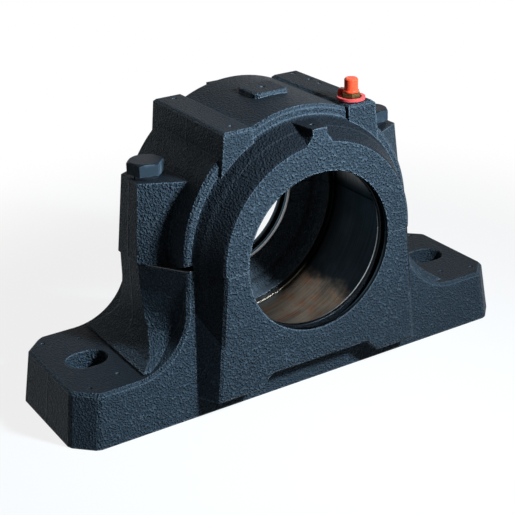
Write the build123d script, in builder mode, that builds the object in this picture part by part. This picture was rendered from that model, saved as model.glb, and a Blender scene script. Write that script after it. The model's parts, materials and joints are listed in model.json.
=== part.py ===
"""Split plummer block housing with a 160 mm bearing seat, in millimetres.

Frame: X along the feet, Y along the shaft, Z up. The origin is the centre of the
machined mounting face, so the shaft centre lies at (0, 0, centre_height).
"""

import os
from math import atan, cos, degrees, pi, radians, sin, sqrt

from build123d import *

os.makedirs("parts", exist_ok=True)

# ---------------------------------------------------------------- driving dimensions
# Overall sizes of the casting
housing_length = 345.0
foot_width = 100.0
centre_height = 100.0
crown_rise = 94.0

# Feet and their slots
foot_height = 37.0
foot_end_draft = 5.2
foot_corner_cut = 14.0
foot_edge_round = 2.0
slot_spacing = 280.0
slot_width = 22.0
slot_length = 28.0
relief_depth = 2.5
relief_length = 190.0
relief_width = 72.0
relief_corner = 10.0

# Lower body between the feet
body_width_joint = 86.0
flank_half_joint = 85.5
flank_half_low = 88.0
flank_sweep = 40.0

# Bearing chamber: radii about the shaft, widths centred on the middle plane
seat_radius = 80.0
seat_width = 65.0
chamber_radius = 75.0
chamber_width = 82.0
neck_bore_radius = 54.0
neck_wall = 11.5
groove_radius = 60.0
groove_width = 5.0

# Upper barrel and its neck rings
barrel_radius = 87.0
barrel_rise = 4.5
neck_reach = 65.0
ring_radius = 72.0
neck_rise = 2.5
cone_radius = 82.5
barrel_round = 2.0
ring_round = 1.5

# Lower neck panels
panel_half_joint = 70.5
panel_half_foot = 79.8
panel_spread = 11.0
panel_clearance = 13.5
panel_notch_height = 9.0
panel_notch_top = 75.0
panel_notch_foot = 95.0

# Cap bolt bosses, their tops as a rise above the shaft centre
bolt_spacing = 177.0
boss_rise = 52.5
boss_end_top = 100.5
boss_end_joint = 105.5
boss_nose_top = 11.0
boss_nose_joint = 13.5
boss_corner_top = 83.0
boss_corner_joint = 97.0
boss_side_top = 20.5
boss_side_joint = 22.0
boss_root_top = 34.0
boss_step = 1.0
boss_end_sweep = 26.0
boss_side_sweep = 48.0
boss_shares = (0.03, 0.1, 0.2, 0.32, 0.5, 0.72, 1)
pry_height = 4.0
pry_length = 12.0
pry_depth = 10.0

# Cap pads, crown pad and lugs, their tops as rises above the shaft centre
pad_rise = 85.5
pad_inner = 36.0
pad_outer = 57.0
pad_foot_outer = 60.5
pad_length = 91.0
pad_round = 1.5
crown_pad_x = 25.0
crown_pad_y = 24.0
crown_pad_corner = 4.0
crown_pad_round = 0.8
crown_pad_draft = 8.0
lug_rise = 83.0
lug_front_width = 10.6
lug_back_width = 17.0
lug_straight = 4.0
lug_flare = 5.0
lug_flare_drop = 11.0
dimple_radius = 1.6
dimple_depth = 0.8
dimple_sides = 8
lug_dimple_y = 56.0
pad_dimples = [(-45.5, 37), (-45.5, -35), (50, 39), (51, 20), (51, 8)]
foot_dimples = [
    (side * x, end * y)
    for side in (-1, 1)
    for end in (-1, 1)
    for x, y in ((155, 36), (132, 29))
]

# Cap bolts and spring washers
bolt_diameter = 12.0
bolt_length = 80.0
bolt_head_flats = 21.0
bolt_head_height = 8.3
head_crown = 0.95
head_crown_angle = 60.0
bolt_turn_left = 45.0
bolt_turn_right = 5.0
bolt_hole_clearance = 0.6
thread_clearance = 0.3
tapped_hole_depth = 34.0
washer_diameter = 20.5
washer_thickness = 2.2
washer_cut = 1.2
washer_clearance = 0.3
seat_gap = 0.05
washer_turn_left = 200.0
washer_turn_right = 60.0

# Dowel pins across the joint
dowel_diameter = 6.0
dowel_length = 20.0
dowel_x = 97.0
dowel_y = 13.5
dowel_clearance = 0.04
dowel_end_gap = 0.5

# Grease nipple and its valve, heights above the pad
nipple_x = 45.5
nipple_y = -35.0
nipple_thread_diameter = 10.0
nipple_thread_length = 8.0
nipple_thread_run_out = 2.0
grease_passage = 5.0
nipple_hex_flats = 11.0
nipple_hex_height = 5.0
nipple_neck_diameter = 4.8
nipple_head_diameter = 6.5
nipple_head_height = 8.0
nipple_head_cone = 1.0
nipple_height = 13.0
nipple_nose = 1.5
valve_bore = 3.8
valve_stop_bore = 2.4
valve_stop_height = 0.8
valve_seat_height = 9.0
valve_seat_top = 10.2
inlet_bore = 1.8
ball_diameter = 3.0
ball_gap = 0.1
spring_diameter = 3.3
spring_wire = 0.45
spring_turns = 4
spring_steps = 32
spring_lean = 0.9

# Dust cap on the nipple
cap_clearance = 0.05
cap_wall = 1.2
cap_skirt = 0.6
cap_crown = 1.6
cap_rim_gap = 0.3
cap_round = 0.8
cap_end_gap = 0.2
loop_outer_radius = 9.2
loop_inner_radius = 7.0
loop_thickness = 1.8
loop_lift = 0.6
strap_width = 4.0
strap_thickness = 1.4
strap_turn = 115.0

# How far a cutter runs past the face that it opens
cut_past = 1.0

# ---------------------------------------------------------------- derived sizes
half_length = housing_length / 2
half_width = foot_width / 2
half_joint = body_width_joint / 2
crown_height = centre_height + crown_rise
boss_top = centre_height + boss_rise
pad_height = centre_height + pad_rise
lug_height = centre_height + lug_rise
side_slope = (half_width - half_joint) / centre_height
bolt_x = bolt_spacing / 2
boss_upright = centre_height - foot_height
boss_heights = [foot_height + share * boss_upright for share in boss_shares]
washer_base = boss_top
head_base = washer_base + washer_thickness + seat_gap
bolt_tip = head_base - bolt_length
barrel_centre = centre_height + barrel_rise
ring_centre = centre_height + neck_rise
nipple_base = Plane((nipple_x, nipple_y, pad_height))
nipple_section = Plane((nipple_x, nipple_y, pad_height), x_dir=(1, 0, 0), z_dir=(0, -1, 0))
strap_way = (cos(radians(strap_turn)), sin(radians(strap_turn)), 0)
strap_side = (sin(radians(strap_turn)), -cos(radians(strap_turn)), 0)
strap_plane = Plane((nipple_x, nipple_y, pad_height), x_dir=strap_way, z_dir=strap_side)
nipple_axis = Axis((nipple_x, nipple_y, pad_height), (0, 0, 1))
seat_run = valve_seat_top - valve_seat_height
seat_rise = (valve_bore - inlet_bore) / 2
seat_side = sqrt(seat_run**2 + seat_rise**2)
ball_depth = ((ball_diameter / 2 + ball_gap) * seat_side - valve_bore / 2 * seat_run) / seat_rise
ball_height = valve_seat_height - ball_depth
cap_radius = nipple_head_diameter / 2 + cap_clearance + cap_wall
cap_rim = nipple_hex_height + cap_rim_gap
cap_top = nipple_height + cap_crown
shaft_axis = Axis((0, 0, centre_height), (0, 1, 0))
neck_depth = neck_reach - half_joint
front_face = Plane.XZ.offset(neck_reach)
barrel_face = Plane.XZ.offset(half_joint)
joint_plane = Plane.XY.offset(centre_height)


def outline(*points):
    """Fill the polygon through the points, in the sketch that is open."""
    return Polygon(*points, align=None)


# ---------------------------------------------------------------- shared chamber cutter
lip = neck_reach - neck_wall
groove_inner = neck_reach - (neck_wall + groove_width) / 2
groove_outer = groove_inner + groove_width
bore_end = neck_reach + cut_past

with BuildPart() as chamber:
    # Bearing seat, side chambers, seal grooves and neck bores as one turned form
    with BuildSketch(Plane.YZ):
        outline(
            (0, centre_height),
            (0, centre_height + seat_radius),
            (seat_width / 2, centre_height + seat_radius),
            (seat_width / 2, centre_height + chamber_radius),
            (chamber_width / 2, centre_height + chamber_radius),
            (lip, centre_height + neck_bore_radius),
            (groove_inner, centre_height + neck_bore_radius),
            (groove_inner, centre_height + groove_radius),
            (groove_outer, centre_height + groove_radius),
            (groove_outer, centre_height + neck_bore_radius),
            (bore_end, centre_height + neck_bore_radius),
            (bore_end, centre_height),
        )
        mirror(about=Plane.YZ)
    revolve(axis=shaft_axis)

# ---------------------------------------------------------------- lower casting
with BuildPart() as lower_neck:
    # Panel outline on the front face, spreading back into the body
    with BuildSketch(front_face):
        outline(
            (-panel_half_joint, centre_height),
            (-panel_half_foot, 0),
            (panel_half_foot, 0),
            (panel_half_joint, centre_height),
        )
    extrude(amount=-neck_depth, taper=-degrees(atan(panel_spread / neck_depth)))
    # Level joint face above, notched underside below
    with BuildSketch(front_face):
        with Locations((0, centre_height)):
            Rectangle(foot_width * 3, foot_width, align=(Align.CENTER, Align.MIN))
        outline(
            (-half_length, -foot_width),
            (-half_length, panel_clearance),
            (-panel_notch_foot / 2, panel_clearance),
            (-panel_notch_top / 2, panel_clearance + panel_notch_height),
            (panel_notch_top / 2, panel_clearance + panel_notch_height),
            (panel_notch_foot / 2, panel_clearance),
            (half_length, panel_clearance),
            (half_length, -foot_width),
        )
    extrude(amount=-neck_depth, mode=Mode.SUBTRACT)
    broken = [
        edge
        for edge in lower_neck.faces().sort_by(Axis.Y)[0].edges()
        if edge.center().Z < centre_height
    ]
    chamfer(broken, length=ring_round)
    mirror(about=Plane.XZ)

with BuildPart() as lower_boss:
    # Bolt boss: upright below the joint, then sweeping out into the foot
    for height in boss_heights:
        end_drop = max(0, foot_height + boss_end_sweep - height)
        end_flare = boss_end_sweep - sqrt(boss_end_sweep**2 - end_drop**2)
        side_drop = max(0, foot_height + boss_side_sweep - height)
        side_flare = boss_side_sweep - sqrt(boss_side_sweep**2 - side_drop**2)
        end = boss_end_joint - boss_step + end_flare
        nose = min(boss_nose_joint - boss_step + side_flare, half_joint)
        with BuildSketch(Plane.XY.offset(height)):
            outline(
                (-end, -nose),
                (-flank_half_joint, -half_joint),
                (-flank_half_joint, half_joint),
                (-end, nose),
            )
    loft(ruled=True)
    mirror(about=Plane.YZ)

with BuildPart() as housing_base:
    # Feet and flanks in one side outline, then the draft of both long faces
    with BuildSketch(Plane.XZ):
        with BuildLine():
            flank = CenterArc(
                (-flank_half_low - flank_sweep, foot_height + flank_sweep), flank_sweep, -90, 90
            )
            Polyline(
                flank @ 1,
                (-flank_half_joint, centre_height),
                (0, centre_height),
                (0, 0),
                (-half_length, 0),
                (-half_length + foot_end_draft, foot_height),
                flank @ 0,
            )
        make_face()
        mirror(about=Plane.YZ)
    extrude(amount=half_width, both=True)
    with BuildSketch(Plane.YZ):
        outline(
            (-half_width, 0),
            (-half_joint, centre_height),
            (half_joint, centre_height),
            (half_width, 0),
        )
    extrude(amount=half_length, both=True, mode=Mode.INTERSECT)
    corners = [
        edge
        for edge in housing_base.edges()
        if abs(edge.center().X) > half_length - foot_end_draft and abs(edge.center().Y) > half_joint
    ]
    chamfer(corners, length=foot_corner_cut)
    # Broken casting edges, apart from those on the machined faces
    broken = [
        edge
        for edge in housing_base.edges()
        if 0 < edge.center().Z < centre_height
        and (abs(edge.tangent_at(0.5).Y) < 0.9 or abs(edge.center().X) > half_length - foot_corner_cut)
    ]
    chamfer(broken, length=foot_edge_round)
    add(lower_neck.part)
    add(lower_boss.part)
    # Long slots for the foundation bolts
    with BuildSketch(Plane.XY):
        with Locations((-slot_spacing / 2, 0), (slot_spacing / 2, 0)):
            SlotOverall(slot_length, slot_width)
    extrude(amount=foot_height * 2, mode=Mode.SUBTRACT)
    # Relieved middle of the mounting face
    with BuildSketch(Plane.XY):
        RectangleRounded(relief_length, relief_width, relief_corner)
    extrude(amount=relief_depth, mode=Mode.SUBTRACT)
    # Drill-point marks on the feet
    with BuildSketch(Plane.XY.offset(foot_height - dimple_depth)):
        with Locations(*foot_dimples):
            RegularPolygon(dimple_radius, dimple_sides)
    extrude(amount=dimple_depth * 2, mode=Mode.SUBTRACT)
    add(chamber.part, mode=Mode.SUBTRACT)
    # Tapped holes for the cap bolts and reamed holes for the dowels
    with BuildSketch(joint_plane):
        with Locations((-bolt_x, 0), (bolt_x, 0)):
            Circle(bolt_diameter / 2 + thread_clearance)
    extrude(amount=-tapped_hole_depth, mode=Mode.SUBTRACT)
    with BuildSketch(joint_plane):
        with Locations((-dowel_x, dowel_y), (dowel_x, -dowel_y)):
            Circle(dowel_diameter / 2 + dowel_clearance)
    extrude(amount=-dowel_length / 2 - dowel_end_gap, mode=Mode.SUBTRACT)

# ---------------------------------------------------------------- upper casting
with BuildPart() as upper_neck:
    # Neck cone from the front ring back to the barrel, as one turned form
    with BuildSketch(Plane.YZ):
        outline(
            (-half_joint, ring_centre),
            (-half_joint, ring_centre + cone_radius),
            (-neck_reach + ring_round, ring_centre + ring_radius),
            (-neck_reach, ring_centre + ring_radius - ring_round),
            (-neck_reach, ring_centre),
        )
    revolve(axis=Axis((0, 0, ring_centre), (0, 1, 0)))

with BuildPart() as lug:
    # Tapered lug on top of the neck, level on top and flared into the ring
    for plane, width in ((front_face, lug_front_width), (barrel_face, lug_back_width)):
        with BuildSketch(plane):
            outline(
                (-width / 2, lug_height),
                (-width / 2, lug_height - lug_straight),
                (-width / 2 - lug_flare, lug_height - lug_flare_drop),
                (width / 2 + lug_flare, lug_height - lug_flare_drop),
                (width / 2, lug_height - lug_straight),
                (width / 2, lug_height),
            )
    loft(ruled=True)

with BuildPart() as necks:
    # Both necks with their lugs, front and rear alike
    add(upper_neck.part)
    add(lug.part)
    mirror(about=Plane.XZ)

with BuildPart() as upper_boss:
    # Bolt boss: long nose at the joint, short and narrow at the top
    with BuildSketch(joint_plane):
        outline(
            (-boss_end_joint, -boss_nose_joint),
            (-boss_corner_joint, -boss_side_joint),
            (-pad_outer, -boss_side_joint),
            (-pad_outer, boss_side_joint),
            (-boss_corner_joint, boss_side_joint),
            (-boss_end_joint, boss_nose_joint),
        )
    with BuildSketch(Plane.XY.offset(boss_top)):
        outline(
            (-boss_end_top, -boss_nose_top),
            (-boss_corner_top, -boss_side_top),
            (-pad_outer, -boss_root_top),
            (-pad_outer, boss_root_top),
            (-boss_corner_top, boss_side_top),
            (-boss_end_top, boss_nose_top),
        )
    loft(ruled=True)
    mirror(about=Plane.YZ)

with BuildPart() as side_pads:
    # Flat side pads, a little longer than the barrel
    with BuildSketch(Plane.XZ):
        outline(
            (-pad_inner, centre_height),
            (-pad_inner, pad_height),
            (-pad_outer, pad_height),
            (-pad_foot_outer, boss_top),
            (-pad_outer, centre_height),
        )
    extrude(amount=pad_length / 2, both=True)
    chamfer(side_pads.faces().sort_by(Axis.Z)[-1].edges(), length=pad_round)
    mirror(about=Plane.YZ)

with BuildPart() as crown_pad:
    # Small drafted pad with rounded corners on the crown
    with BuildSketch(Plane.XY.offset(crown_height)):
        RectangleRounded(crown_pad_x, crown_pad_y, crown_pad_corner)
    extrude(amount=-crown_pad_x / 4, taper=-crown_pad_draft)
    chamfer(crown_pad.faces().sort_by(Axis.Z)[-1].edges(), length=crown_pad_round)

with BuildPart() as housing_cap:
    # Barrel over the bearing seat
    with BuildSketch(Plane.XZ):
        with Locations((0, barrel_centre)):
            Circle(barrel_radius)
    extrude(amount=half_joint, both=True)
    chamfer(housing_cap.edges().filter_by(GeomType.CIRCLE), length=barrel_round)
    add(upper_boss.part)
    add(side_pads.part)
    add(crown_pad.part)
    add(necks.part)
    # Open the joint face and the chamber
    with BuildSketch(joint_plane):
        Rectangle(housing_length, neck_reach * 3)
    extrude(amount=-housing_length, mode=Mode.SUBTRACT)
    add(chamber.part, mode=Mode.SUBTRACT)
    # Clearance holes for the cap bolts, dowel holes and the nipple thread
    with BuildSketch(joint_plane):
        with Locations((-bolt_x, 0), (bolt_x, 0)):
            Circle(bolt_diameter / 2 + bolt_hole_clearance)
    extrude(amount=boss_rise + cut_past, mode=Mode.SUBTRACT)
    with BuildSketch(joint_plane):
        with Locations((-dowel_x, dowel_y), (dowel_x, -dowel_y)):
            Circle(dowel_diameter / 2 + dowel_clearance)
    extrude(amount=dowel_length / 2 + dowel_end_gap, mode=Mode.SUBTRACT)
    with BuildSketch(nipple_base):
        Circle(nipple_thread_diameter / 2 + dowel_clearance)
    extrude(amount=-nipple_thread_length - nipple_thread_run_out, mode=Mode.SUBTRACT)
    with BuildSketch(nipple_base):
        Circle(grease_passage / 2)
    extrude(amount=-pad_rise, mode=Mode.SUBTRACT)
    # Prying wedges in two opposite corners of the joint
    for end in (-1, 1):
        with BuildSketch(Plane.YZ.offset(end * (barrel_radius + cut_past))):
            outline(
                (end * (half_joint + cut_past), centre_height),
                (end * (half_joint + cut_past), centre_height + pry_height),
                (end * half_joint, centre_height + pry_height),
                (end * (half_joint - pry_depth), centre_height),
            )
        extrude(amount=-end * pry_length, mode=Mode.SUBTRACT)
    # Drill-point marks on the pads, the crown pad and the lugs
    with BuildSketch(Plane.XY.offset(pad_height - dimple_depth)):
        with Locations(*pad_dimples):
            RegularPolygon(dimple_radius, dimple_sides)
    extrude(amount=dimple_depth * 2, mode=Mode.SUBTRACT)
    with BuildSketch(Plane.XY.offset(crown_height - dimple_depth)):
        RegularPolygon(dimple_radius, dimple_sides)
    extrude(amount=dimple_depth * 2, mode=Mode.SUBTRACT)
    with BuildSketch(Plane.XY.offset(lug_height - dimple_depth)):
        with Locations((0, -lug_dimple_y), (0, lug_dimple_y)):
            RegularPolygon(dimple_radius, dimple_sides)
    extrude(amount=dimple_depth * 2, mode=Mode.SUBTRACT)

# ---------------------------------------------------------------- cap bolts
def cap_bolt(place, turn):
    """Hexagon head bolt with a chamfered head, standing at one boss."""
    with BuildPart() as bolt:
        with BuildSketch(Plane((place, 0, head_base))):
            RegularPolygon(bolt_head_flats / 2, 6, major_radius=False, rotation=turn)
        extrude(amount=bolt_head_height)
        # Crown turned down to the width across flats
        with BuildSketch(Plane((place, 0, head_base + bolt_head_height))):
            Circle(bolt_head_flats / 2 * head_crown)
        extrude(amount=-bolt_head_height, taper=-head_crown_angle, mode=Mode.INTERSECT)
        with BuildSketch(Plane((place, 0, head_base))):
            Circle(bolt_diameter / 2)
        extrude(amount=-bolt_length)
    return bolt.part


cap_bolt_left = cap_bolt(-bolt_x, bolt_turn_left)
cap_bolt_right = cap_bolt(bolt_x, bolt_turn_right)


def spring_washer(place, turn):
    """Split spring washer, pressed flat under the bolt head."""
    with BuildPart() as washer:
        with BuildSketch(Plane((place, 0, washer_base))):
            Circle(washer_diameter / 2)
            Circle(bolt_diameter / 2 + washer_clearance, mode=Mode.SUBTRACT)
            with Locations(Rotation(0, 0, turn)):
                Rectangle(washer_diameter, washer_cut, align=(Align.MIN, Align.CENTER), mode=Mode.SUBTRACT)
        extrude(amount=washer_thickness)
    return washer.part


spring_washer_left = spring_washer(-bolt_x, washer_turn_left)
spring_washer_right = spring_washer(bolt_x, washer_turn_right)


def dowel_pin(place_x, place_y):
    """Parallel pin, half in each casting."""
    with BuildPart() as pin:
        with BuildSketch(joint_plane):
            with Locations((place_x, place_y)):
                Circle(dowel_diameter / 2)
        extrude(amount=dowel_length / 2, both=True)
    return pin.part


dowel_pin_left = dowel_pin(-dowel_x, dowel_y)
dowel_pin_right = dowel_pin(dowel_x, -dowel_y)

# ---------------------------------------------------------------- grease nipple
with BuildPart() as grease_nipple:
    # Hexagon and thread
    with BuildSketch(nipple_base):
        RegularPolygon(nipple_hex_flats / 2, 6, major_radius=False)
    extrude(amount=nipple_hex_height)
    with BuildSketch(nipple_base):
        Circle(nipple_thread_diameter / 2)
    extrude(amount=-nipple_thread_length)
    # Neck and coupling head as one turned form
    with BuildSketch(nipple_section):
        outline(
            (0, 0),
            (nipple_neck_diameter / 2, 0),
            (nipple_neck_diameter / 2, nipple_head_height),
            (nipple_head_diameter / 2, nipple_head_height + nipple_head_cone),
            (nipple_head_diameter / 2, nipple_height - nipple_nose),
            (inlet_bore, nipple_height),
            (0, nipple_height),
        )
    revolve(axis=nipple_axis)
    # Valve bore with its stop below and conical seat above
    with BuildSketch(nipple_section):
        outline(
            (0, -nipple_thread_length - cut_past),
            (valve_stop_bore / 2, -nipple_thread_length - cut_past),
            (valve_stop_bore / 2, valve_stop_height),
            (valve_bore / 2, valve_stop_height),
            (valve_bore / 2, valve_seat_height),
            (inlet_bore / 2, valve_seat_top),
            (inlet_bore / 2, nipple_height + cut_past),
            (0, nipple_height + cut_past),
        )
    revolve(axis=nipple_axis, mode=Mode.SUBTRACT)

with BuildPart() as nipple_check_ball:
    with Locations((nipple_x, nipple_y, pad_height + ball_height)):
        Sphere(ball_diameter / 2)

with BuildPart() as nipple_spring:
    # Open coil between the stop and the ball, in straight lengths
    spring_low = valve_stop_height + spring_wire
    spring_high = ball_height - ball_diameter / 2 * spring_lean - spring_wire / 2
    coil_radius = (spring_diameter - spring_wire) / 2
    coil_points = [
        (
            nipple_x + coil_radius * cos(2 * pi * spring_turns * share),
            nipple_y + coil_radius * sin(2 * pi * spring_turns * share),
            pad_height + spring_low + (spring_high - spring_low) * share,
        )
        for share in [step / spring_steps for step in range(spring_steps + 1)]
    ]
    with BuildLine() as coil:
        Polyline(*coil_points)
    with BuildSketch(Plane(coil.line @ 0, z_dir=coil.line % 0)):
        Rectangle(spring_wire, spring_wire)
    sweep(path=coil.line, transition=Transition.RIGHT)

with BuildPart() as nipple_dust_cap:
    # Cup over the coupling head
    with BuildSketch(nipple_section):
        outline(
            (0, cap_top),
            (cap_radius - cap_round, cap_top),
            (cap_radius, cap_top - cap_round),
            (cap_radius, cap_rim + cap_skirt * 2),
            (cap_radius + cap_skirt, cap_rim + cap_skirt * 2),
            (cap_radius + cap_skirt, cap_rim),
            (cap_radius - cap_wall, cap_rim),
            (cap_radius - cap_wall, nipple_height + cap_end_gap),
            (0, nipple_height + cap_end_gap),
        )
    revolve(axis=nipple_axis)
    # Holding loop round the hexagon
    with BuildSketch(nipple_base.offset(loop_lift)):
        Circle(loop_outer_radius)
        Circle(loop_inner_radius, mode=Mode.SUBTRACT)
    extrude(amount=loop_thickness)
    # Strap from the loop up to the skirt
    with BuildSketch(strap_plane):
        outline(
            (loop_inner_radius + cap_skirt, loop_lift),
            (loop_outer_radius, loop_lift + cap_skirt),
            (loop_outer_radius, loop_lift + loop_thickness),
            (loop_inner_radius + strap_thickness, cap_rim + strap_thickness),
            (cap_radius - cap_round / 2, cap_rim + strap_thickness),
            (cap_radius - cap_round / 2, cap_rim),
            (loop_inner_radius, cap_rim),
            (loop_inner_radius, loop_lift + cap_skirt),
        )
    extrude(amount=strap_width / 2, both=True)

housing_base.part.label = "housing_base"
housing_cap.part.label = "housing_cap"
cap_bolt_left.label = "cap_bolt_left"
cap_bolt_right.label = "cap_bolt_right"
spring_washer_left.label = "spring_washer_left"
spring_washer_right.label = "spring_washer_right"
dowel_pin_left.label = "dowel_pin_left"
dowel_pin_right.label = "dowel_pin_right"
grease_nipple.part.label = "grease_nipple"
nipple_check_ball.part.label = "nipple_check_ball"
nipple_spring.part.label = "nipple_spring"
nipple_dust_cap.part.label = "nipple_dust_cap"

export_step(housing_base.part, "parts/housing_base.step")
export_step(housing_cap.part, "parts/housing_cap.step")
export_step(cap_bolt_left, "parts/cap_bolt_left.step")
export_step(cap_bolt_right, "parts/cap_bolt_right.step")
export_step(spring_washer_left, "parts/spring_washer_left.step")
export_step(spring_washer_right, "parts/spring_washer_right.step")
export_step(dowel_pin_left, "parts/dowel_pin_left.step")
export_step(dowel_pin_right, "parts/dowel_pin_right.step")
export_step(grease_nipple.part, "parts/grease_nipple.step")
export_step(nipple_check_ball.part, "parts/nipple_check_ball.step")
export_step(nipple_spring.part, "parts/nipple_spring.step")
export_step(nipple_dust_cap.part, "parts/nipple_dust_cap.step")
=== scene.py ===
"""Looks of the split plummer block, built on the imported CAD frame. Metres, +Z up, shaft along Y."""

import json
from math import cos, radians, sin
from types import SimpleNamespace

import bpy
from mathutils import Matrix, Vector

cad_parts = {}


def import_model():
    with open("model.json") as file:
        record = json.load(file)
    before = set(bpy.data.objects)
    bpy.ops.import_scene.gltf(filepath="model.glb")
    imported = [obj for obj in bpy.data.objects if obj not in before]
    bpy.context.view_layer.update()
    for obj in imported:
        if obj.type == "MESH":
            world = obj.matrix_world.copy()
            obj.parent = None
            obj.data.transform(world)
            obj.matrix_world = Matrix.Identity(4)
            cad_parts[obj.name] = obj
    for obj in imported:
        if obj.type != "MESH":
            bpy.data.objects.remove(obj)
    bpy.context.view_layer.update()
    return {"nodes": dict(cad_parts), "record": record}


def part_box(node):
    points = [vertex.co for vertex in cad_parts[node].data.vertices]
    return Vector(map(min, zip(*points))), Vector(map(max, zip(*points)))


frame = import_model()

# ---------------------------------------------------------------- places from the frame
MOUNTS = {mount["name"]: mount for mount in frame["record"]["mounts"]}


def mount_size(name, dimension):
    """A size of a mount, in metres."""
    return MOUNTS[name]["dims"][dimension] / 1000


CENTRE_Z = MOUNTS["bearing_seat"]["pos_m"][2]
SEAT_RADIUS = mount_size("bearing_seat", "r_mm")
SEAT_HALF = mount_size("bearing_seat", "length_mm") / 2
NECK_RADIUS = mount_size("neck_bores", "r_mm")
NECK_END = mount_size("neck_bores", "length_mm") / 2

# ---------------------------------------------------------------- zones of the casting
# How near a point has to be to count as on a face
MARGIN = 0.0004
# Each neck bore is this long, and has a seal groove and a bright inner lip
NECK_WALL = 0.0115
NECK_INNER = NECK_END - NECK_WALL
GROOVE_RADIUS = 0.060
LIP_WIDTH = 0.0008
# The shoulders at the seat's ends, with a little over
SHOULDER_DEPTH = 0.0056
# Beyond this radius a point is on the outside of the housing
OUTSIDE_RADIUS = SEAT_RADIUS + 0.0115
# The hollow cone behind each neck face, darkened as painted shade: where the darkening fades in, and its
# rim
HOLLOW_ALONG = (SEAT_HALF + 0.010, SEAT_HALF + 0.014)
HOLLOW_RADIUS = (0.066, 0.069)
HOLLOW_RIM = 0.0875
# Half the width of the dark line at the joint
SEAM = 0.0003

# ---------------------------------------------------------------- colours, as plain values
PAINT = (0.033, 0.047, 0.060, 1)
# Lighter paint: rubbed paint, and painted highlights on the grain's peaks and on edges
PAINT_WORN_AND_LIT = (0.22, 0.275, 0.32, 1)
BLACKENED = (0.030, 0.038, 0.048, 1)
# Near black: the colour of dark joints and turning marks, and painted shade on level faces, bolt tops,
# neck grooves and hollow cones
SOOT_AND_SHADE = (0.010, 0.012, 0.015, 1)
# Lighter paint in the chamber, as painted light for the light coming in through the bores
INSIDE_LIT = (0.100, 0.125, 0.148, 1)
GLOSS_TINT = (0.62, 0.84, 1, 1)
PAINT_GLOSS = 0.026
# Near-black steel, as painted shade across the middle of the seat
STEEL_IN_SHADE = (0.003, 0.0035, 0.004, 1)
# Light grey steel, as a painted reflection towards the top of the seat
STEEL_LIT_REFLECTION = (0.88, 0.89, 0.90, 1)
MACHINED = (0.36, 0.37, 0.38, 1)
MILLED = (0.12, 0.125, 0.13, 1)
# Near-black bare metal, as painted shade on the lands and shoulders
SHADED_LAND = (0.018, 0.020, 0.022, 1)
# Brown oil film at the bottom of the seat, lighter there as painted light
OIL_FILM_AND_LIGHT = (0.155, 0.128, 0.098, 1)
RUST = (0.19, 0.075, 0.028, 1)
STEEL = (0.55, 0.56, 0.57, 1)
BRASS = (0.23, 0.175, 0.07, 1)
BRASS_DARK = (0.07, 0.055, 0.025, 1)
CAP_RED = (0.90, 0.088, 0.030, 1)
LOOP_RED = (0.72, 0.080, 0.075, 1)
WHITE = (1, 1, 1, 1)


# ---------------------------------------------------------------- shader building
EDGE_SAMPLES = 6


def plug(tree, socket, value):
    """Link a node's output to a socket, or write a plain value there."""
    if isinstance(value, bpy.types.NodeSocket):
        tree.links.new(value, socket)
    else:
        socket.default_value = value


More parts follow.
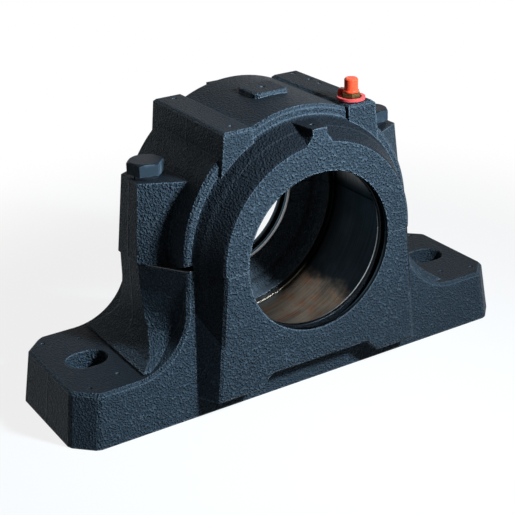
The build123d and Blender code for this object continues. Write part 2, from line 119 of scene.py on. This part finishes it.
class Shader:
    """A material with short calls for the nodes that it needs."""

    def __init__(self, name):
        self.material = bpy.data.materials.new(name)
        self.material.use_nodes = True
        self.tree = self.material.node_tree
        self.surface = self.tree.nodes["Principled BSDF"]
        self.place = self.node("TexCoord").outputs["Object"]

    def node(self, kind):
        """A new node of that kind."""
        return self.tree.nodes.new("ShaderNode" + kind)

    def plug(self, socket, value):
        """Link or write a value in this material."""
        plug(self.tree, socket, value)

    def sum(self, operation, *values):
        """One Math node on the values."""
        node = self.node("Math")
        node.operation = operation
        for socket, value in zip(node.inputs, values):
            self.plug(socket, value)
        return node.outputs[0]

    def absolute(self, value):
        """The value without its sign."""
        return self.sum("ABSOLUTE", value)

    def scaled(self, value, factor):
        """The value times a factor."""
        return self.sum("MULTIPLY", value, factor)

    def below(self, value, limit):
        """1 where the value is under the limit."""
        return self.sum("LESS_THAN", value, limit)

    def above(self, value, limit):
        """1 where the value is over the limit."""
        return self.sum("GREATER_THAN", value, limit)

    def reach(self, first, second):
        """How far a point is from an axis, from its two distances across it."""
        squares = self.sum("ADD", self.scaled(first, first), self.scaled(second, second))
        return self.sum("SQRT", squares)

    def both(self, *masks):
        """Where every mask is 1."""
        result = masks[0]
        for mask in masks[1:]:
            result = self.scaled(result, mask)
        return result

    def any(self, *masks):
        """Where one mask or more is 1."""
        result = masks[0]
        for mask in masks[1:]:
            result = self.sum("MAXIMUM", result, mask)
        return result

    def split(self, vector):
        """The X, Y and Z of a vector."""
        node = self.node("SeparateXYZ")
        self.plug(node.inputs[0], vector)
        return node.outputs[0], node.outputs[1], node.outputs[2]

    def join(self, x, y, z):
        """A vector from three numbers."""
        node = self.node("CombineXYZ")
        for socket, value in zip(node.inputs, (x, y, z)):
            self.plug(socket, value)
        return node.outputs[0]

    def noise(self, scale, detail, rough, vector=None):
        """Noise of that many cells to the metre."""
        node = self.node("TexNoise")
        self.plug(node.inputs["Vector"], vector or self.place)
        node.inputs["Scale"].default_value = scale
        node.inputs["Detail"].default_value = detail
        node.inputs["Roughness"].default_value = rough
        return node.outputs["Fac"]

    def pits(self, scale):
        """Rounded grains of that many to the metre."""
        node = self.node("TexVoronoi")
        node.feature = "SMOOTH_F1"
        self.plug(node.inputs["Vector"], self.place)
        node.inputs["Scale"].default_value = scale
        return node.outputs["Distance"]

    def ramp(self, value, low, high, start=0.0, end=1.0):
        """Map low..high onto start..end, smoothly and held at both ends."""
        node = self.node("MapRange")
        node.interpolation_type = "SMOOTHSTEP"
        self.plug(node.inputs["Value"], value)
        node.inputs["From Min"].default_value = low
        node.inputs["From Max"].default_value = high
        node.inputs["To Min"].default_value = start
        node.inputs["To Max"].default_value = end
        return node.outputs["Result"]

    def mix(self, share, first, second):
        """Colour mix, first at 0 and second at 1."""
        node = self.node("Mix")
        node.data_type = "RGBA"
        self.plug(node.inputs["Factor"], share)
        self.plug(node.inputs["A"], first)
        self.plug(node.inputs["B"], second)
        return node.outputs["Result"]

    def true_normal(self):
        """The flat normal of the surface."""
        return self.node("NewGeometry").outputs["True Normal"]

    def dot(self, first, second):
        """How far two directions agree, 1 where they are the same."""
        node = self.node("VectorMath")
        node.operation = "DOT_PRODUCT"
        self.plug(node.inputs[0], first)
        self.plug(node.inputs[1], second)
        return node.outputs["Value"]

    def soft_edges(self, radius):
        """The normal with edges rounded to that radius."""
        node = self.node("Bevel")
        node.samples = EDGE_SAMPLES
        node.inputs["Radius"].default_value = radius
        return node.outputs["Normal"]

    def bump(self, height, distance, strength, normal):
        """The normal over a height, in metres, laid on another normal."""
        node = self.node("Bump")
        self.plug(node.inputs["Height"], height)
        node.inputs["Distance"].default_value = distance
        self.plug(node.inputs["Strength"], strength)
        self.plug(node.inputs["Normal"], normal)
        return node.outputs["Normal"]

    def finish(self, **values):
        """Plug the shader's sockets by name, with _ for a space."""
        for name, value in values.items():
            self.plug(self.surface.inputs[name.replace("_", " ")], value)
        return self.material


# In the values below, a noise is (cells to the metre, detail, roughness), and a ramp is
# (low, high) for 0 to 1, or (low, high, value at low, value at high).

# ---------------------------------------------------------------- the castings
# How squarely a face looks up or down, to the ends, or to the front and back
LEVEL_FACE = (0.80, 0.97)
END_FACE = (0.85, 0.95)
SLANTED_FACE = (0.93, 0.85)
EDGE_TURN = (0.995, 0.90)
# Grain under the paint
GRAIN_NOISE = (900, 2.5, 0.5)
PIT_SCALE = 800
GRAIN_HEIGHT = 0.8
PIT_HEIGHT = 0.7
FLASH_HEIGHT = 0.35
FLASH_WIDTH = (0.0012, 0.0003)
GRAIN_DEPTH = 0.0024
LEVEL_GRAIN = (0, 1, 1, 0.45)
CAST_EDGE = 0.0022
# Paint, how it is rubbed, and the painted highlights and painted shade on it
PATCH_NOISE = (60, 3, 0.5)
# Painted highlights on the grain's peaks; on the edges, rubbed paint with painted highlights
PATCH_HIGHLIGHT = (0.30, 0.60, 0.70, 1)
PEAK_HIGHLIGHT = (0.72, 0.98, 0, 0.26)
LEVEL_HIGHLIGHT = (0, 1, 1, 0.25)
EDGE_WEAR_AND_HIGHLIGHT = 0.55
SHADE_NOISE = (11, 2, 0.5)
SHADE_RAMP = (0.35, 0.7, 0, 0.30)
# Painted shade: how far level faces are darkened towards near black
LEVEL_SHADE = 0.85
# Painted shade: how far the hollow cones are darkened towards near black
HOLLOW_SHADE = 0.85
SEAM_SOOT = 0.7
PAINT_ROUGH = (0.3, 0.7, 0.36, 0.50)
# Turned metal of the seat, with marks that run round it: few cells across the shaft, many along it
TURNING_NOISE = (1, 3, 0.6)
TURNING_ROUND = 18
TURNING_ALONG = 900
TURNING_SOOT = (0.35, 0.7, 0, 0.45)
TURNING_DEPTH = 0.0001
TURNING_STRENGTH = 0.4
CLOUD_NOISE = (55, 4, 0.6)
# Painted shade turns to painted reflection over this rise above the centre
REFLECTION_RISE = (0.002, 0.040)
FILM_RISE = (-0.047, -0.062)
FILM_WAVE = 0.02
STAIN_NOISE = (120, 4, 0.65)
STAIN_RAMP = (0.50, 0.64)
STAIN_SHARE = 0.6
METAL_ROUGH = (0.3, 0.7, 0.27, 0.42)
DULL_RISE = (0.005, 0.045, 0, 0.25)


def cast_places(s):
    """The measures that the casting's looks depend on."""
    x, y, z = s.split(s.place)
    rise = s.sum("SUBTRACT", z, CENTRE_Z)
    radius = s.reach(x, rise)
    along = s.absolute(y)
    flat = s.true_normal()
    facing_x, facing_y, facing_z = s.split(flat)
    neck = s.both(
        s.above(along, NECK_INNER - MARGIN),
        s.below(along, NECK_END - MARGIN),
        s.below(radius, GROOVE_RADIUS + MARGIN),
    )
    return SimpleNamespace(
        x=x,
        y=y,
        z=z,
        rise=rise,
        radius=radius,
        along=along,
        flat=flat,
        neck=neck,
        level=s.ramp(s.absolute(facing_z), *LEVEL_FACE),
        end_on=s.ramp(s.absolute(facing_x), *END_FACE),
        slanted=s.ramp(s.absolute(facing_y), *SLANTED_FACE),
    )


def bare_zones(s, at):
    """Where the casting is machined and left bare."""
    seat = s.both(
        s.below(at.along, SEAT_HALF + MARGIN),
        s.above(at.radius, SEAT_RADIUS - SHOULDER_DEPTH),
        s.below(at.radius, SEAT_RADIUS + MARGIN),
    )
    shoulder = s.both(seat, s.below(at.radius, SEAT_RADIUS - LIP_WIDTH))
    land = s.both(at.neck, s.below(at.radius, NECK_RADIUS + MARGIN))
    lip = s.both(
        s.below(s.absolute(s.sum("SUBTRACT", at.along, NECK_INNER)), LIP_WIDTH),
        s.below(at.radius, NECK_RADIUS + LIP_WIDTH),
    )
    joint = s.both(s.below(s.absolute(at.rise), MARGIN), at.level)
    under = s.both(s.below(at.z, MARGIN), at.level)
    return SimpleNamespace(
        seat=seat,
        dark=s.any(land, shoulder),
        lip=lip,
        milled=s.any(joint, under),
        every=s.any(seat, land, lip, joint, under),
    )


def cast_height(s, at, grain):
    """Height of the coarse casting, with the mould's flash down the middle of the end faces."""
    height = s.sum("ADD", s.scaled(grain, GRAIN_HEIGHT), s.scaled(s.pits(PIT_SCALE), PIT_HEIGHT))
    outside = s.above(at.radius, OUTSIDE_RADIUS)
    flash = s.both(s.ramp(at.along, *FLASH_WIDTH), at.end_on, outside)
    return s.sum("ADD", height, s.scaled(flash, FLASH_HEIGHT))


def cast_wear_and_highlights(s, at, height, edge):
    """Where the paint is lighter: painted highlights on the grain's peaks, and rubbed paint with painted
    highlights on the edges.
    """
    patchy = s.ramp(s.noise(*PATCH_NOISE), *PATCH_HIGHLIGHT)
    # Painted highlights: the grain's peaks lighter in patches, less on level faces
    peaks = s.both(s.ramp(height, *PEAK_HIGHLIGHT), patchy, s.ramp(at.level, *LEVEL_HIGHLIGHT))
    # On the edges, rubbed paint together with painted highlights
    edge_wear_and_highlight = s.ramp(s.dot(edge, at.flat), *EDGE_TURN)
    return s.any(peaks, s.scaled(edge_wear_and_highlight, EDGE_WEAR_AND_HIGHLIGHT))


def painted_shade(s, at, wear_and_highlights):
    """The paint's colour: painted shade on level faces, in the neck grooves and in the hollow cones, a
    dark line at the seam, and painted light in the chamber.
    """
    # Lighter where paint is rubbed and where highlights are painted
    shade = s.mix(wear_and_highlights, PAINT, PAINT_WORN_AND_LIT)
    shade = s.mix(s.ramp(s.noise(*SHADE_NOISE), *SHADE_RAMP), shade, BLACKENED)
    # Painted shade: level faces darkened towards near black
    shade = s.mix(s.scaled(at.level, LEVEL_SHADE), shade, SOOT_AND_SHADE)
    # Painted light: the paint inside the chamber lighter
    chamber = s.both(s.below(at.radius, SEAT_RADIUS), s.below(at.along, NECK_INNER))
    shade = s.mix(chamber, shade, INSIDE_LIT)
    # Painted shade: the neck's groove and lands near black
    shade = s.mix(at.neck, shade, SOOT_AND_SHADE)
    # Painted shade: the hollow cone behind each neck face darkened towards near black
    hollow = s.both(
        at.slanted,
        s.ramp(at.along, *HOLLOW_ALONG),
        s.ramp(at.radius, *HOLLOW_RADIUS),
        s.below(at.radius, HOLLOW_RIM),
    )
    shade = s.mix(s.scaled(hollow, HOLLOW_SHADE), shade, SOOT_AND_SHADE)
    upright = s.sum("SUBTRACT", 1, at.level)
    seam = s.both(s.below(s.absolute(at.rise), SEAM), upright)
    return s.mix(s.scaled(seam, SEAM_SOOT), shade, SOOT_AND_SHADE)


def bare_shade(s, at, bare, cloud, turning):
    """Oiled, turned metal in the seat: painted shade across its middle, a painted reflection towards the
    top, and a brown film with stains at the bottom, lighter there as painted light.
    """
    low = s.ramp(s.sum("ADD", at.rise, s.scaled(cloud, FILM_WAVE)), *FILM_RISE)
    stain = s.both(s.ramp(s.noise(*STAIN_NOISE), *STAIN_RAMP), low)
    # Painted shade in the middle of the seat, a painted reflection towards its top
    shade = s.mix(s.ramp(at.rise, *REFLECTION_RISE), STEEL_IN_SHADE, STEEL_LIT_REFLECTION)
    # A brown oil film at the bottom, lighter there as painted light
    shade = s.mix(s.both(low, bare.seat), shade, OIL_FILM_AND_LIGHT)
    shade = s.mix(s.scaled(stain, STAIN_SHARE), shade, RUST)
    shade = s.mix(s.ramp(turning, *TURNING_SOOT), shade, SOOT_AND_SHADE)
    shade = s.mix(bare.milled, shade, MILLED)
    # Painted shade: the lands and shoulders near black
    shade = s.mix(bare.dark, shade, SHADED_LAND)
    return s.mix(bare.lip, shade, MACHINED)


def cast_roughness(s, at, bare, painted, grain, cloud):
    """Roughness of the paint and of the bare metal, duller in the upper half of the seat."""
    paint = s.both(s.ramp(grain, *PAINT_ROUGH), painted)
    metal_rough = s.both(bare.every, s.ramp(cloud, *METAL_ROUGH))
    dulled = s.both(bare.seat, s.ramp(at.rise, *DULL_RISE))
    return s.sum("ADD", s.sum("ADD", paint, metal_rough), dulled)


def cast_paint():
    """Blue-black paint over a coarse casting, with the machined seat, necks and joint left bare."""
    s = Shader("cast_paint")
    at = cast_places(s)
    bare = bare_zones(s, at)
    painted = s.sum("SUBTRACT", 1, bare.every)
    grain = s.noise(*GRAIN_NOISE)
    cloud = s.noise(*CLOUD_NOISE)
    drawn_out = s.join(
        s.scaled(at.x, TURNING_ROUND),
        s.scaled(at.y, TURNING_ALONG),
        s.scaled(at.z, TURNING_ROUND),
    )
    turning = s.noise(*TURNING_NOISE, drawn_out)
    height = cast_height(s, at, grain)
    edge = s.soft_edges(CAST_EDGE)
    paint = painted_shade(s, at, cast_wear_and_highlights(s, at, height, edge))
    coarse = s.both(painted, s.ramp(at.level, *LEVEL_GRAIN))
    cast = s.bump(height, GRAIN_DEPTH, coarse, edge)
    turned = s.bump(turning, TURNING_DEPTH, s.scaled(bare.every, TURNING_STRENGTH), cast)
    return s.finish(
        Base_Color=s.mix(bare.every, paint, bare_shade(s, at, bare, cloud, turning)),
        Metallic=bare.every,
        Roughness=cast_roughness(s, at, bare, painted, grain, cloud),
        Normal=turned,
        Specular_IOR_Level=PAINT_GLOSS,
        Specular_Tint=GLOSS_TINT,
    )


# ---------------------------------------------------------------- the cap bolts
BOLT_GRAIN_NOISE = (900, 3, 0.5)
BOLT_GRAIN_DEPTH = 0.0003
BOLT_GRAIN_STRENGTH = 0.5
BOLT_EDGE = 0.0006
BOLT_WEAR_NOISE = (260, 3, 0.5)
BOLT_WEAR_RAMP = (0.40, 0.60)
BOLT_WEAR = 0.6
BOLT_SHADE_NOISE = (160, 3, 0.5)
BOLT_SHADE_RAMP = (0.45, 0.75, 0, 0.20)
# Painted shade: how far the top of a bolt head is darkened
BOLT_TOP_SHADE = (0.6, 0.9, 0, 0.95)
BOLT_ROUGH = (0.3, 0.7, 0.28, 0.42)


def bolt_paint():
    """The same paint on a forged bolt head, smoother, worn at its corners, with painted shade on top."""
    s = Shader("bolt_paint")
    grain = s.noise(*BOLT_GRAIN_NOISE)
    edge = s.soft_edges(BOLT_EDGE)
    flat = s.true_normal()
    worn_patches = s.ramp(s.noise(*BOLT_WEAR_NOISE), *BOLT_WEAR_RAMP)
    worn = s.both(s.ramp(s.dot(edge, flat), *EDGE_TURN), worn_patches)
    shade = s.mix(s.ramp(s.noise(*BOLT_SHADE_NOISE), *BOLT_SHADE_RAMP), PAINT, PAINT_WORN_AND_LIT)
    shade = s.mix(s.scaled(worn, BOLT_WEAR), shade, PAINT_WORN_AND_LIT)
    # Painted shade: the top of the head darkened towards near black
    upward = s.ramp(s.split(flat)[2], *BOLT_TOP_SHADE)
    return s.finish(
        Base_Color=s.mix(upward, shade, SOOT_AND_SHADE),
        Roughness=s.ramp(grain, *BOLT_ROUGH),
        Normal=s.bump(grain, BOLT_GRAIN_DEPTH, BOLT_GRAIN_STRENGTH, edge),
        Specular_IOR_Level=PAINT_GLOSS,
        Specular_Tint=GLOSS_TINT,
    )


# ---------------------------------------------------------------- small metal parts
TARNISH_NOISE = (700, 4, 0.6)
TARNISH_RAMP = (0.42, 0.66)
TARNISH_ROUGH = 0.2
TOOTH_NOISE = (1800, 2, 0.5)
TOOTH_DEPTH = 0.0001
TOOTH_STRENGTH = 0.3
METAL_EDGE = 0.0003
WASHER_ROUGH = 0.45
BRIGHT_ROUGH = 0.25
BRASS_ROUGH = 0.3


def metal(name, rough, colour, tarnished=None):
    """Plain metal with a fine tooth, and with patches of the second colour where one is given."""
    s = Shader(name)
    tarnish = s.ramp(s.noise(*TARNISH_NOISE), *TARNISH_RAMP)
    return s.finish(
        Base_Color=s.mix(tarnish, colour, tarnished) if tarnished else colour,
        Metallic=1.0,
        Roughness=s.ramp(tarnish, 0, 1, rough, rough + TARNISH_ROUGH),
        Normal=s.bump(s.noise(*TOOTH_NOISE), TOOTH_DEPTH, TOOTH_STRENGTH, s.soft_edges(METAL_EDGE)),
    )


# ---------------------------------------------------------------- the dust cap
LOOP_TOP = 0.0030
LOOP_FADE = 0.0022
SPECK_NOISE = (900, 3, 0.5)
SPECK_RAMP = (0.5, 0.75, 0, 0.25)
RED_ROUGH_NOISE = (500, 2, 0.5)
RED_ROUGH = (0.3, 0.7, 0.38, 0.5)
RED_TOOTH_NOISE = (1300, 2, 0.5)
RED_TOOTH_DEPTH = 0.0001
RED_TOOTH_STRENGTH = 0.35
RED_EDGE = 0.0005
RED_GLOSS = 0.25
RED_DEPTH_SHARE = 0.12
RED_DEPTH = 0.001


def moulded_red():
    """Soft moulded plastic, duller and pinker on the loop than on the cup."""
    s = Shader("moulded_red")
    low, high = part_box("nipple_dust_cap")
    height = s.split(s.place)[2]
    loop = s.ramp(height, low.z + LOOP_TOP, low.z + LOOP_FADE)
    speck = s.ramp(s.noise(*SPECK_NOISE), *SPECK_RAMP)
    tooth = s.noise(*RED_TOOTH_NOISE)
    edge = s.soft_edges(RED_EDGE)
    return s.finish(
        Base_Color=s.mix(speck, s.mix(loop, CAP_RED, LOOP_RED), LOOP_RED),
        Roughness=s.ramp(s.noise(*RED_ROUGH_NOISE), *RED_ROUGH),
        Normal=s.bump(tooth, RED_TOOTH_DEPTH, RED_TOOTH_STRENGTH, edge),
        Specular_IOR_Level=RED_GLOSS,
        Subsurface_Weight=RED_DEPTH_SHARE,
        Subsurface_Scale=RED_DEPTH,
    )


# ---------------------------------------------------------------- materials on the pieces
def dress(material, *names):
    """Give CAD nodes their material."""
    for name in names:
        mesh = frame["nodes"][name].data
        mesh.materials.clear()
        mesh.materials.append(material)


blackened_steel = metal("blackened_steel", WASHER_ROUGH, BLACKENED)
bright_steel = metal("bright_steel", BRIGHT_ROUGH, STEEL, MACHINED)
brass = metal("brass", BRASS_ROUGH, BRASS, BRASS_DARK)

dress(cast_paint(), "housing_base", "housing_cap")
dress(bolt_paint(), "cap_bolt_left", "cap_bolt_right")
dress(blackened_steel, "spring_washer_left", "spring_washer_right")
dress(bright_steel, "dowel_pin_left", "dowel_pin_right")
dress(bright_steel, "nipple_check_ball", "nipple_spring")
dress(brass, "grease_nipple")
dress(moulded_red(), "nipple_dust_cap")

# ---------------------------------------------------------------- stage
WORLD_TINT = (0.85, 0.93, 1, 1)
WORLD_FILL = 0.0035
FLOOR_GREY = (0.25, 0.25, 0.25, 1)
FLOOR_SIZE = 12
FLOOR_DROP = 0.0002
SHADOW_SHARE = 0.16
SHADOW_REACH = (0.22, 0.50)


def seen_directly(tree):
    """1 for rays from the camera, and for what gloss and glass show."""
    path = tree.nodes.new("ShaderNodeLightPath")
    value = path.outputs["Is Camera Ray"]
    for other in ("Is Glossy Ray", "Is Transmission Ray"):
        larger = tree.nodes.new("ShaderNodeMath")
        larger.operation = "MAXIMUM"
        plug(tree, larger.inputs[0], value)
        plug(tree, larger.inputs[1], path.outputs[other])
        value = larger.outputs[0]
    return value


def mix_shaders(tree, share, first, second):
    """Mix two shaders, first at 0 and second at 1."""
    mix = tree.nodes.new("ShaderNodeMixShader")
    for socket, value in zip(mix.inputs, (share, first, second)):
        plug(tree, socket, value)
    return mix.outputs[0]


def world():
    """Dim even light, with a white background."""
    studio = bpy.data.worlds.new("studio")
    studio.use_nodes = True
    tree = studio.node_tree
    dim = tree.nodes["Background"]
    dim.inputs["Color"].default_value = WORLD_TINT
    dim.inputs["Strength"].default_value = WORLD_FILL
    white = tree.nodes.new("ShaderNodeBackground")
    white.inputs["Color"].default_value = WHITE
    white.inputs["Strength"].default_value = 1.0
    mixed = mix_shaders(tree, seen_directly(tree), dim.outputs[0], white.outputs[0])
    plug(tree, tree.nodes["World Output"].inputs["Surface"], mixed)
    bpy.context.scene.world = studio


def floor():
    """Plain white floor that keeps the object's shadow and throws little light back."""
    bpy.ops.mesh.primitive_plane_add(size=FLOOR_SIZE, location=(0, 0, -FLOOR_DROP))
    plane = bpy.context.object
    plane.name = "floor"
    s = Shader("floor")
    s.finish(Base_Color=FLOOR_GREY, Specular_IOR_Level=0.0)
    x, y, z = s.split(s.place)
    share = s.ramp(s.reach(x, y), *SHADOW_REACH, SHADOW_SHARE, 0)
    pale = s.node("BsdfDiffuse")
    pale.inputs["Color"].default_value = WHITE
    white = s.node("Emission")
    white.inputs["Strength"].default_value = 1.0
    shown = mix_shaders(s.tree, share, white.outputs[0], pale.outputs[0])
    mixed = mix_shaders(s.tree, seen_directly(s.tree), s.surface.outputs[0], shown)
    s.plug(s.tree.nodes["Material Output"].inputs["Surface"], mixed)
    plane.data.materials.append(s.material)


# ---------------------------------------------------------------- lamps
AIM = Vector((0, 0, 0.09))
LEFT_SHOULDER = Vector((-0.07, -0.05, 0.19))
KEY_BLUE = (0.70, 0.86, 1)
RIM_BLUE = (0.80, 0.95, 1)
SOFT_BLUE = (0.82, 0.94, 1)


def around(azimuth, elevation, distance):
    """A place round the object: azimuth from the front towards +X, both angles in degrees."""
    turn, lift = radians(azimuth), radians(elevation)
    return AIM + distance * Vector((sin(turn) * cos(lift), -cos(turn) * cos(lift), sin(lift)))


def lamp(name, place, aim, size, watts, colour, spread=180):
    """Square area lamp, turned to its aim, with its spread in degrees."""
    data = bpy.data.lights.new(name, "AREA")
    data.size = size
    data.energy = watts
    data.color = colour
    data.spread = radians(spread)
    lamp_object = bpy.data.objects.new(name, data)
    lamp_object.location = place
    lamp_object.rotation_euler = (aim - place).to_track_quat("-Z", "Y").to_euler()
    bpy.context.scene.collection.objects.link(lamp_object)


# ---------------------------------------------------------------- camera, fitted to the viewpoint
CAMERA_PLACE = Vector((-0.41536, -0.66241, 0.42377))
CAMERA_AZIMUTH = radians(-31.60)
CAMERA_ELEVATION = radians(24.20)
CAMERA_ROLL = radians(-1.72)
CAMERA_LENS = 86.78
CAMERA_NEAR = 0.01
SENSOR = 36.0


def camera():
    """Camera at the fitted viewpoint."""
    back = Vector(
        (
            sin(CAMERA_AZIMUTH) * cos(CAMERA_ELEVATION),
            -cos(CAMERA_AZIMUTH) * cos(CAMERA_ELEVATION),
            sin(CAMERA_ELEVATION),
        )
    )
    right = (-back).cross(Vector((0, 0, 1))).normalized()
    up = right.cross(-back)
    rolled_right = right * cos(CAMERA_ROLL) + up * sin(CAMERA_ROLL)
    rolled_up = up * cos(CAMERA_ROLL) - right * sin(CAMERA_ROLL)
    turn = Matrix((rolled_right, rolled_up, back)).transposed()
    data = bpy.data.cameras.new("camera")
    data.lens = CAMERA_LENS
    data.sensor_width = SENSOR
    data.clip_start = CAMERA_NEAR
    view = bpy.data.objects.new("camera", data)
    view.matrix_world = Matrix.Translation(CAMERA_PLACE) @ turn.to_4x4()
    bpy.context.scene.collection.objects.link(view)
    bpy.context.scene.camera = view


world()
floor()
lamp("key", around(20, 35, 0.60), LEFT_SHOULDER, size=0.08, watts=2.7, colour=KEY_BLUE, spread=100)
lamp("rim", around(-120, 20, 1.6), AIM, size=0.8, watts=0.5, colour=RIM_BLUE)
lamp("overhead", around(100, 50, 1.5), AIM, size=0.8, watts=0.3, colour=SOFT_BLUE)
lamp("back", around(195, 12, 1.6), AIM, size=1.0, watts=2.6, colour=SOFT_BLUE)
camera()

bpy.context.scene.view_settings.view_transform = "Standard"
